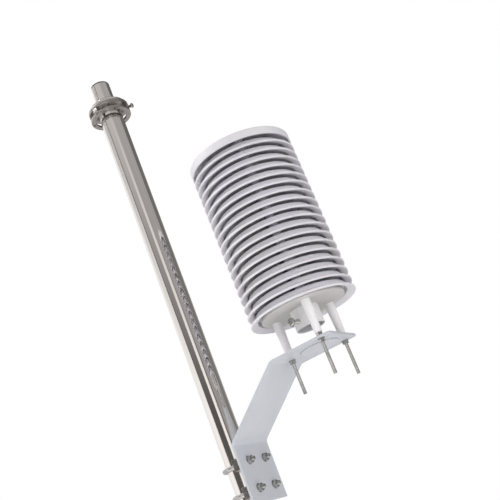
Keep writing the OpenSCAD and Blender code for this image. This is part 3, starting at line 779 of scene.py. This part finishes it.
def knob(leg, turn):
    """A six-lobed hand knob on its shank."""
    node = f"clamp_knob_{leg}"
    middle = centre(node)
    along = turn @ ALONG_X
    local = along.inverted()
    reach = [local @ (vertex.co - middle) for vertex in nodes[node].data.vertices]
    z0, z1 = min(p.z for p in reach), max(p.z for p in reach)
    offset = Vector(((max(p.x for p in reach) + min(p.x for p in reach)) / 2,
                     (max(p.y for p in reach) + min(p.y for p in reach)) / 2, 0))
    face = z1 - 9 * MM
    grip = bmesh.new()
    rings = []
    sides, lobes = 96, 6
    levels = ((face, 0.90), (face + 0.6 * MM, 0.97), (face + 1.8 * MM, 1.0), (z1 - 2.2 * MM, 1.0),
              (z1 - 0.8 * MM, 0.96), (z1 - 0.1 * MM, 0.86), (z1 - 0.5 * MM, 0.6), (z1 - 0.7 * MM, 0.35))
    for z, share in levels:
        ring = []
        for k in range(sides):
            a = TURN * k / sides
            r = share * (10.9 * MM + 1.1 * MM * math.cos(lobes * a))
            ring.append(grip.verts.new((r * math.cos(a), r * math.sin(a), z)))
        rings.append(ring)
    for here, ahead in zip(rings, rings[1:]):
        for k in range(sides):
            j = (k + 1) % sides
            grip.faces.new((here[k], here[j], ahead[j], ahead[k]))
    grip.faces.new(list(reversed(rings[0])))
    grip.faces.new(rings[-1])
    shank = cylinder(3 * MM, z0, face + 1 * MM, segments=24)
    place = Matrix.Translation(middle) @ along @ Matrix.Translation(offset)
    piece(f"clamp_knob_{leg}_lobed", moved(merged([grip, shank]), place), node, limit=50)


shield()
base_and_posts()
rods_and_nuts()
probe_holder()
screws()
access_plug()
mast_fittings()
clamp_hardware()
feet_and_knobs()
BEVELLED = {"bracket": 0.5 * MM, "tripod_hub": 0.8 * MM, "u_bolt_saddles": 0.4 * MM,
            "guy_ring": 0.5 * MM, "hub_screws": 0.25 * MM, "leg_pivot_bolts": 0.3 * MM,
            "leg_pivot_nuts": 0.3 * MM}
for leg in LEGS:
    BEVELLED[f"leg_clamp_{leg}"] = 0.5 * MM
    BEVELLED[f"upper_leg_{leg}"] = 0.4 * MM
for shown in nodes:
    if not nodes[shown].hide_render:
        finish_node(shown, BEVELLED.get(shown, 0.0))


# ---- Studio ----
def plain_material(name, colour, strength=None):
    """A diffuse stage material, or a glowing one where a strength is given."""
    made = bpy.data.materials.new(name)
    made.use_nodes = True
    tree = made.node_tree
    tree.nodes.clear()
    kind = "ShaderNodeBsdfDiffuse" if strength is None else "ShaderNodeEmission"
    shader = tree.nodes.new(kind)
    shader.inputs["Color"].default_value = (*colour, 1)
    if strength is not None:
        shader.inputs["Strength"].default_value = strength
    output = tree.nodes.new("ShaderNodeOutputMaterial")
    tree.links.new(shader.outputs[0], output.inputs["Surface"])
    return made


def floor():
    """A round pale floor that fades into the white background towards its edge."""
    shape = bmesh.new()
    bmesh.ops.create_circle(shape, cap_ends=True, segments=96, radius=9)
    made = added("floor", shape)
    made.location.z = cad_low.z - 0.2 * MM
    material = plain_material("floor", (0.86, 0.86, 0.86))
    tree = material.node_tree
    place = tree.nodes.new("ShaderNodeTexCoord").outputs["Object"]
    distance = tree.nodes.new("ShaderNodeVectorMath")
    distance.operation = "LENGTH"
    tree.links.new(place, distance.inputs[0])
    fade = map_range(tree, distance.outputs["Value"], *FLOOR_FADE, 0.25, 1.0)
    white = tree.nodes.new("ShaderNodeEmission")
    mix = tree.nodes.new("ShaderNodeMixShader")
    share = tree.nodes.new("ShaderNodeMath")
    share.operation = "MULTIPLY"
    tree.links.new(fade, share.inputs[0])
    tree.links.new(seen_directly(tree), share.inputs[1])
    tree.links.new(share.outputs[0], mix.inputs[0])
    output = next(n for n in tree.nodes if n.type == "OUTPUT_MATERIAL")
    diffuse = next(n for n in tree.nodes if n.type == "BSDF_DIFFUSE")
    tree.links.new(diffuse.outputs[0], mix.inputs[1])
    tree.links.new(white.outputs[0], mix.inputs[2])
    tree.links.new(mix.outputs[0], output.inputs["Surface"])
    made.data.materials.append(material)


def seen_directly(tree):
    """1 for camera, glossy and transmission rays, which should find a white background."""
    path = tree.nodes.new("ShaderNodeLightPath")
    total = path.outputs["Is Camera Ray"]
    for name in ("Is Glossy Ray", "Is Transmission Ray"):
        add = tree.nodes.new("ShaderNodeMath")
        add.operation = "MAXIMUM"
        tree.links.new(total, add.inputs[0])
        tree.links.new(path.outputs[name], add.inputs[1])
        total = add.outputs[0]
    return total


def world(ambient):
    made = bpy.data.worlds.new("studio")
    bpy.context.scene.world = made
    made.use_nodes = True
    tree = made.node_tree
    background = tree.nodes["Background"]
    background.inputs["Color"].default_value = (1, 1, 1, 1)
    strength = map_range(tree, seen_directly(tree), 0.0, 1.0, ambient, 1.0)
    tree.links.new(strength, background.inputs["Strength"])


def lamp(name, azimuth, height, distance, size, power, aim):
    """A soft square lamp at an azimuth round the aim point, turned towards it."""
    data = bpy.data.lights.new(name, "AREA")
    data.energy, data.size = power, size
    made = bpy.data.objects.new(name, data)
    bpy.context.scene.collection.objects.link(made)
    a = math.radians(azimuth)
    made.location = aim + Vector((distance * math.cos(a), distance * math.sin(a), height))
    made.rotation_mode = "QUATERNION"
    made.rotation_quaternion = (aim - made.location).to_track_quat("-Z", "Y")


def card(name, azimuths, low, high):
    """A curved studio card that only polished surfaces see, between two azimuths round the mast.

    Its radiance goes from low at CARD_FADE's first height to high at its second.
    """
    start, end = azimuths
    steps = 16
    shape = bmesh.new()
    pairs = []
    for k in range(steps + 1):
        a = math.radians(start + (end - start) * k / steps)
        x, y = MAST.x + CARD_DISTANCE * math.cos(a), MAST.y + CARD_DISTANCE * math.sin(a)
        pairs.append([shape.verts.new((x, y, z)) for z in CARD_HEIGHTS])
    for here, ahead in zip(pairs, pairs[1:]):
        shape.faces.new((here[0], ahead[0], ahead[1], here[1]))
    made = added(name, shape)
    material = plain_material(name, (1, 0.97, 0.95), 1.0)
    tree = material.node_tree
    glow = next(n for n in tree.nodes if n.type == "EMISSION")
    split = tree.nodes.new("ShaderNodeSeparateXYZ")
    tree.links.new(tree.nodes.new("ShaderNodeTexCoord").outputs["Object"], split.inputs[0])
    fade = map_range(tree, split.outputs["Z"], *CARD_FADE, low, high)
    tree.links.new(fade, glow.inputs["Strength"])
    made.data.materials.append(material)
    for ray in ("camera", "diffuse", "transmission", "volume_scatter", "shadow"):
        setattr(made, "visible_" + ray, False)


FLOOR_FADE = (0.9, 3.5)
floor()
world(ambient=0.62)
SHIELD_MIDDLE = Vector((SHIELD.x, SHIELD.y, RIM_Z + 0.1))
lamp("key", 118, 1.5, 1.8, 1.3, 26, SHIELD_MIDDLE)
lamp("fill", 235, -0.1, 2.4, 1.8, 16, SHIELD_MIDDLE)
# Faces straight up, so that the edge of its light never crosses the floor
BESIDE_SHIELD = SHIELD_MIDDLE + turned_to(165) @ Vector((0.45, 0, 0))
lamp("bounce", 0, -0.75, 0, 1.2, 3.2, BESIDE_SHIELD)
CARD_DISTANCE = 1.5
CARD_HEIGHTS = (0.3, 3.6)
CARD_FADE = (1.0, 2.1)
card("left_card", (94, 138), 1.15, 0.5)
card("dark_edge_card", (138, 148), 0.11, 0.2)
card("dark_card", (148, 192), 0.11, 0.62)
card("strip_card", (192, 214), 1.1, 0.62)
card("line_card", (214, 224), 0.12, 0.55)
card("grey_card", (224, 300), 0.36, 0.46)
card("shade_card", (300, 345), 0.24, 0.16)
card("edge_card", (345, 400), 0.55, 0.12)


# ---- Camera, at the photograph's viewing angle ----
def camera():
    data = bpy.data.cameras.new("camera")
    data.sensor_width = 36
    data.lens = 62.08
    made = bpy.data.objects.new("camera", data)
    bpy.context.scene.collection.objects.link(made)
    azimuth, distance, drop = math.radians(202), 1.122, 0.2863
    made.location = (SHIELD.x + distance * math.cos(azimuth), SHIELD.y + distance * math.sin(azimuth),
                     DISC_Z - drop)
    heading, rise, roll = math.radians(23.875), math.radians(19.283), math.radians(-22.126)
    forward = Vector((math.cos(heading) * math.cos(rise), math.sin(heading) * math.cos(rise),
                      math.sin(rise)))
    level = forward.cross(Vector((0, 0, 1))).normalized()
    upright = level.cross(forward)
    right = level * math.cos(roll) + upright * math.sin(roll)
    up = upright * math.cos(roll) - level * math.sin(roll)
    made.rotation_mode = "QUATERNION"
    made.rotation_quaternion = Matrix((right, up, -forward)).transposed().to_quaternion()
    bpy.context.scene.camera = made


camera()
bpy.context.scene.view_settings.view_transform = "Standard"
